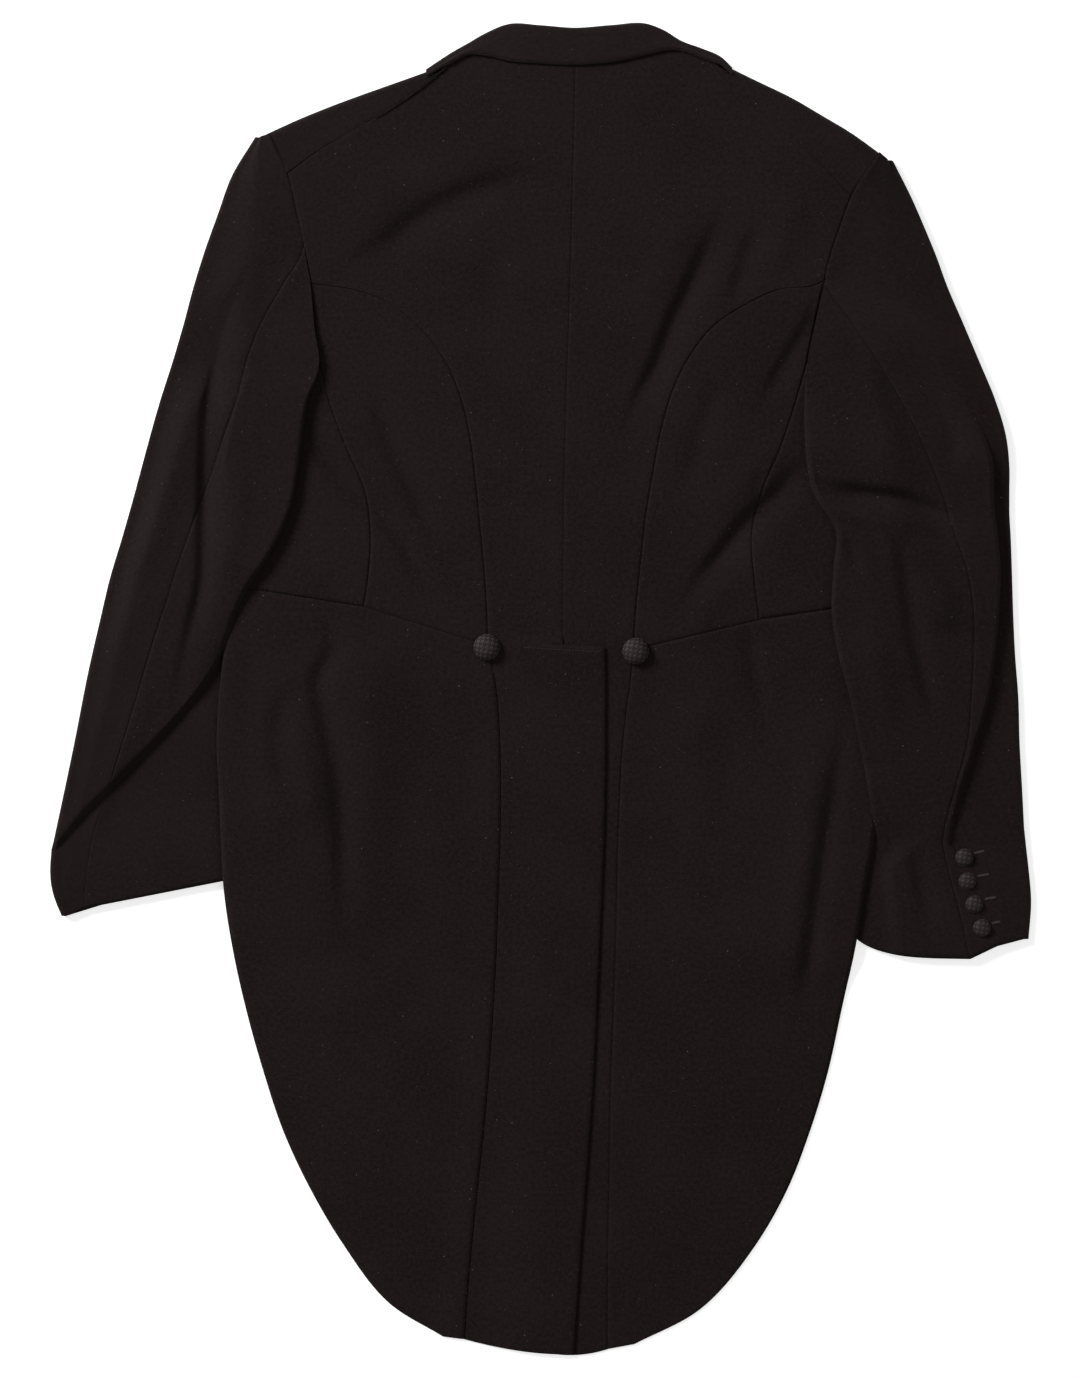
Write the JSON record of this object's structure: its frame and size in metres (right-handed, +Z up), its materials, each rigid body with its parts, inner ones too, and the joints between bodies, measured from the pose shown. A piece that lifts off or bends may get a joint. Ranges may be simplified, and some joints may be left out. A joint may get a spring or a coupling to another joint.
{
  "type": "white tie tailcoat laid flat",
  "caption": "Black wool tailcoat lying on its front, back and rounded tails up, sleeves at its sides, with covered buttons at the waist and on one cuff.",
  "frame": {"origin": "middle of the bounding box, on the surface that the coat lies on", "axes": "+Z up out of the coat's back, +Y from the tails towards the collar, +X towards the coat's right sleeve"},
  "size_m": [0.767, 1.0407, 0.022],
  "materials": {
    "wool": "matt black wool barathea with a faint nap",
    "lapel": "matt black cloth",
    "button": "black cloth-covered button, basket weave"
  },
  "bodies": {
    "root": {"back_left": "wool", "back_right": "wool", "side_body_left": "wool", "side_body_right": "wool", "forepart_left": "wool", "forepart_right": "wool", "skirt_left": "wool", "skirt_right": "wool", "collar": "wool", "lapel_left": "lapel", "lapel_right": "lapel", "sleeve_left_top": "wool", "sleeve_left_under": "wool", "sleeve_right_top": "wool", "sleeve_right_under": "wool", "hip_button_left": "button", "hip_button_right": "button", "cuff_button_1": "button", "cuff_button_2": "button", "cuff_button_3": "button", "cuff_button_4": "button"}
  },
  "joints": []
}
